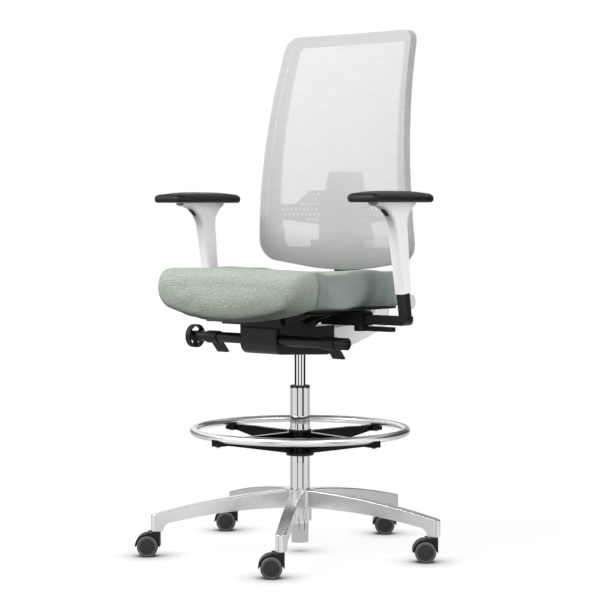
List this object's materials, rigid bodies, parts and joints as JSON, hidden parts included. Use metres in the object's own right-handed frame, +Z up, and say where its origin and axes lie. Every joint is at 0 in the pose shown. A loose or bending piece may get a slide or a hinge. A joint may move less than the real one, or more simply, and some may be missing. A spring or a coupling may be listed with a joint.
{
  "type": "drafting chair",
  "caption": "Counter-height swivel chair: star base on casters, gas-lift column with foot ring, tilting upholstered seat, adjustable arms and mesh back with lumbar pad.",
  "frame": {"origin": "on the floor, on the column's axis", "axes": "+Z up, -Y the way the sitter faces, +X towards the sitter's left hand"},
  "size_m": [0.7557, 0.7308, 1.3005],
  "materials": {
    "polished_aluminium": "polished",
    "chrome": "polished",
    "steel": "ground",
    "black_metal": "black powder coat",
    "black_plastic": "fine texture",
    "wheel_grey": "satin",
    "arm_pad_black": "soft touch",
    "white_plastic": "satin",
    "back_grey": "satin",
    "back_mesh": "open knit",
    "seat_fabric": "woven melange"
  },
  "bodies": {
    "base": {"star_base": "polished_aluminium", "column_tube": "chrome", "column_bush": "black_plastic", "thrust_bearing": "steel"},
    "caster_1": {"caster_1_hood": "black_plastic", "caster_1_pins": "steel"},
    "caster_1_roller": {"caster_1_wheels": "wheel_grey"},
    "caster_2": {"caster_2_hood": "black_plastic", "caster_2_pins": "steel"},
    "caster_2_roller": {"caster_2_wheels": "wheel_grey"},
    "caster_3": {"caster_3_hood": "black_plastic", "caster_3_pins": "steel"},
    "caster_3_roller": {"caster_3_wheels": "wheel_grey"},
    "caster_4": {"caster_4_hood": "black_plastic", "caster_4_pins": "steel"},
    "caster_4_roller": {"caster_4_wheels": "wheel_grey"},
    "caster_5": {"caster_5_hood": "black_plastic", "caster_5_pins": "steel"},
    "caster_5_roller": {"caster_5_wheels": "wheel_grey"},
    "ring_sleeve": {"foot_ring_sleeve": "black_plastic"},
    "ring": {"foot_ring": "chrome", "foot_ring_hub": "black_plastic", "foot_ring_screws": "steel"},
    "lift_rod": {"piston_rod": "steel", "rod_clip": "steel"},
    "mechanism": {"gas_cylinder": "chrome", "mechanism_housing": "black_metal", "recline_pin": "steel", "tilt_pin": "steel", "recline_spring": "steel", "lever_tube_left": "black_metal", "lever_tube_right": "black_metal"},
    "height_paddle": {"height_paddle": "black_plastic"},
    "lock_paddle": {"lock_paddle": "black_plastic"},
    "lock_knob": {"lock_knob": "black_plastic"},
    "tension_wheel": {"tension_wheel": "black_plastic"},
    "back_arm": {"back_carrier": "white_plastic", "back_rack": "black_plastic"},
    "back_knob": {"back_knob": "back_grey"},
    "backrest": {"back_frame": "back_grey", "back_mesh": "back_mesh"},
    "lumbar": {"lumbar_pad": "back_grey"},
    "seat_plate": {"seat_carrier": "black_metal"},
    "seat": {"seat_rails": "black_plastic", "seat_pan": "black_plastic", "seat_cushion": "seat_fabric"},
    "depth_lever": {"depth_lever": "black_plastic"},
    "arm_left_bracket": {"arm_left_bracket": "black_metal"},
    "arm_left_sleeve": {"arm_left_sleeve": "white_plastic"},
    "arm_left_button": {"arm_left_button": "black_plastic"},
    "arm_left_pad_plate": {"arm_left_pad_plate": "black_plastic"},
    "arm_left_pad": {"arm_left_pad": "arm_pad_black"},
    "arm_left_clamp": {"arm_left_clamp": "black_plastic"},
    "arm_right_bracket": {"arm_right_bracket": "black_metal"},
    "arm_right_sleeve": {"arm_right_sleeve": "white_plastic"},
    "arm_right_button": {"arm_right_button": "black_plastic"},
    "arm_right_pad_plate": {"arm_right_pad_plate": "black_plastic"},
    "arm_right_pad": {"arm_right_pad": "arm_pad_black"},
    "arm_right_clamp": {"arm_right_clamp": "black_plastic"}
  },
  "joints": [
    {"name": "caster_1_swivel", "type": "hinge", "parent": "base", "child": "caster_1", "pos_m": [0.19553, -0.30108, 0.0755], "axis": [0, 0, 1], "continuous": true},
    {"name": "caster_1_roll", "type": "hinge", "parent": "caster_1", "child": "caster_1_roller", "pos_m": [0.17837, -0.31548, 0.026], "axis": [0.6428, -0.766, 0], "continuous": true},
    {"name": "caster_2_swivel", "type": "hinge", "parent": "base", "child": "caster_2", "pos_m": [0.34677, 0.09292, 0.0755], "axis": [0, 0, 1], "continuous": true},
    {"name": "caster_2_roll", "type": "hinge", "parent": "caster_2", "child": "caster_2_roller", "pos_m": [0.32961, 0.07852, 0.026], "axis": [0.6428, -0.766, 0], "continuous": true},
    {"name": "caster_3_swivel", "type": "hinge", "parent": "base", "child": "caster_3", "pos_m": [0.01879, 0.35851, 0.0755], "axis": [0, 0, 1], "continuous": true},
    {"name": "caster_3_roll", "type": "hinge", "parent": "caster_3", "child": "caster_3_roller", "pos_m": [0.00163, 0.34411, 0.026], "axis": [0.6428, -0.766, 0], "continuous": true},
    {"name": "caster_4_swivel", "type": "hinge", "parent": "base", "child": "caster_4", "pos_m": [-0.33516, 0.12865, 0.0755], "axis": [0, 0, 1], "continuous": true},
    {"name": "caster_4_roll", "type": "hinge", "parent": "caster_4", "child": "caster_4_roller", "pos_m": [-0.35231, 0.11426, 0.026], "axis": [0.6428, -0.766, 0], "continuous": true},
    {"name": "caster_5_swivel", "type": "hinge", "parent": "base", "child": "caster_5", "pos_m": [-0.22593, -0.279, 0.0755], "axis": [0, 0, 1], "continuous": true},
    {"name": "caster_5_roll", "type": "hinge", "parent": "caster_5", "child": "caster_5_roller", "pos_m": [-0.24309, -0.29339, 0.026], "axis": [0.6428, -0.766, 0], "continuous": true},
    {"name": "foot_ring_height", "type": "slide", "parent": "base", "child": "ring_sleeve", "axis": [0, 0, 1], "range_m": [-0.08, 0.05]},
    {"name": "foot_ring_turn", "type": "hinge", "parent": "ring_sleeve", "child": "ring", "pos_m": [0, 0, 0.275], "axis": [0, 0, 1], "continuous": true},
    {"name": "seat_swivel", "type": "hinge", "parent": "base", "child": "lift_rod", "pos_m": [0, 0, 0.04], "axis": [0, 0, 1], "continuous": true},
    {"name": "seat_height", "type": "slide", "parent": "lift_rod", "child": "mechanism", "axis": [0, 0, 1], "range_m": [-0.065, 0.135]},
    {"name": "height_paddle_turn", "type": "hinge", "parent": "mechanism", "child": "height_paddle", "pos_m": [-0.16, -0.141, 0.537], "axis": [1, 0, 0], "range_deg": [0, 15], "stiffness_Nm_per_rad": 0.8, "springref_deg": -2.86},
    {"name": "lock_paddle_turn", "type": "hinge", "parent": "mechanism", "child": "lock_paddle", "pos_m": [0.211, -0.141, 0.537], "axis": [1, 0, 0], "range_deg": [0, 15], "stiffness_Nm_per_rad": 0.8, "springref_deg": -2.86},
    {"name": "lock_knob_turn", "type": "hinge", "parent": "mechanism", "child": "lock_knob", "pos_m": [0.248, -0.141, 0.537], "axis": [1, 0, 0], "range_deg": [0, 90]},
    {"name": "tension_wheel_turn", "type": "hinge", "parent": "mechanism", "child": "tension_wheel", "pos_m": [-0.219, -0.141, 0.537], "axis": [1, 0, 0], "continuous": true},
    {"name": "back_recline", "type": "hinge", "parent": "mechanism", "child": "back_arm", "pos_m": [0, 0.05, 0.535], "axis": [-1, 0, 0], "range_deg": [0, 20], "stiffness_Nm_per_rad": 60, "springref_deg": -20.05},
    {"name": "back_knob_turn", "type": "hinge", "parent": "back_arm", "child": "back_knob", "pos_m": [0.126, 0.28, 0.618], "axis": [1, 0, 0], "range_deg": [0, 90]},
    {"name": "back_height", "type": "slide", "parent": "back_arm", "child": "backrest", "axis": [0, 0, 1], "range_m": [-0.02, 0.05]},
    {"name": "lumbar_height", "type": "slide", "parent": "backrest", "child": "lumbar", "axis": [0, -0.0291, 0.9996], "range_m": [-0.02, 0.02]},
    {"name": "seat_tilt", "type": "hinge", "parent": "mechanism", "child": "seat_plate", "pos_m": [0, -0.082, 0.553], "axis": [-1, 0, 0], "range_deg": [0, 7]},
    {"name": "seat_depth", "type": "slide", "parent": "seat_plate", "child": "seat", "axis": [0, -1, 0], "range_m": [0, 0.05]},
    {"name": "depth_lever_turn", "type": "hinge", "parent": "seat", "child": "depth_lever", "pos_m": [-0.186, -0.086, 0.5997], "axis": [0, 1, 0], "range_deg": [0, 18], "stiffness_Nm_per_rad": 0.8, "springref_deg": -5.73},
    {"name": "arm_left_width", "type": "slide", "parent": "seat_plate", "child": "arm_left_bracket", "axis": [1, 0, 0], "range_m": [-0.02, 0.02]},
    {"name": "arm_left_height", "type": "slide", "parent": "arm_left_bracket", "child": "arm_left_sleeve", "axis": [0, -0.1564, 0.9877], "range_m": [-0.05, 0.05]},
    {"name": "arm_left_button_press", "type": "slide", "parent": "arm_left_sleeve", "child": "arm_left_button", "axis": [0, 0.6151, 0.7885], "range_m": [0, 0.003], "stiffness_N_per_m": 800, "springref_m": -0.002},
    {"name": "arm_left_pad_turn", "type": "hinge", "parent": "arm_left_sleeve", "child": "arm_left_pad_plate", "pos_m": [0.31, -0.015, 0.869], "axis": [0, 0, 1], "range_deg": [-20, 20]},
    {"name": "arm_left_pad_slide", "type": "slide", "parent": "arm_left_pad_plate", "child": "arm_left_pad", "axis": [0, 1, 0], "range_m": [-0.025, 0.02]},
    {"name": "arm_left_clamp_turn", "type": "hinge", "parent": "seat_plate", "child": "arm_left_clamp", "pos_m": [0.176, 0.022, 0.5705], "axis": [0, 0, 1], "range_deg": [0, 60]},
    {"name": "arm_right_width", "type": "slide", "parent": "seat_plate", "child": "arm_right_bracket", "axis": [-1, 0, 0], "range_m": [-0.02, 0.02]},
    {"name": "arm_right_height", "type": "slide", "parent": "arm_right_bracket", "child": "arm_right_sleeve", "axis": [0, -0.1564, 0.9877], "range_m": [-0.05, 0.05]},
    {"name": "arm_right_button_press", "type": "slide", "parent": "arm_right_sleeve", "child": "arm_right_button", "axis": [0, 0.6151, 0.7885], "range_m": [0, 0.003], "stiffness_N_per_m": 800, "springref_m": -0.002},
    {"name": "arm_right_pad_turn", "type": "hinge", "parent": "arm_right_sleeve", "child": "arm_right_pad_plate", "pos_m": [-0.31, -0.015, 0.869], "axis": [0, 0, 1], "range_deg": [-20, 20]},
    {"name": "arm_right_pad_slide", "type": "slide", "parent": "arm_right_pad_plate", "child": "arm_right_pad", "axis": [0, 1, 0], "range_m": [-0.025, 0.02]},
    {"name": "arm_right_clamp_turn", "type": "hinge", "parent": "seat_plate", "child": "arm_right_clamp", "pos_m": [-0.176, 0.022, 0.5705], "axis": [0, 0, -1], "range_deg": [0, 60]}
  ],
  "couplings": [
    {"joint": "seat_tilt", "follows": "back_recline", "ratio": 0.35}
  ]
}
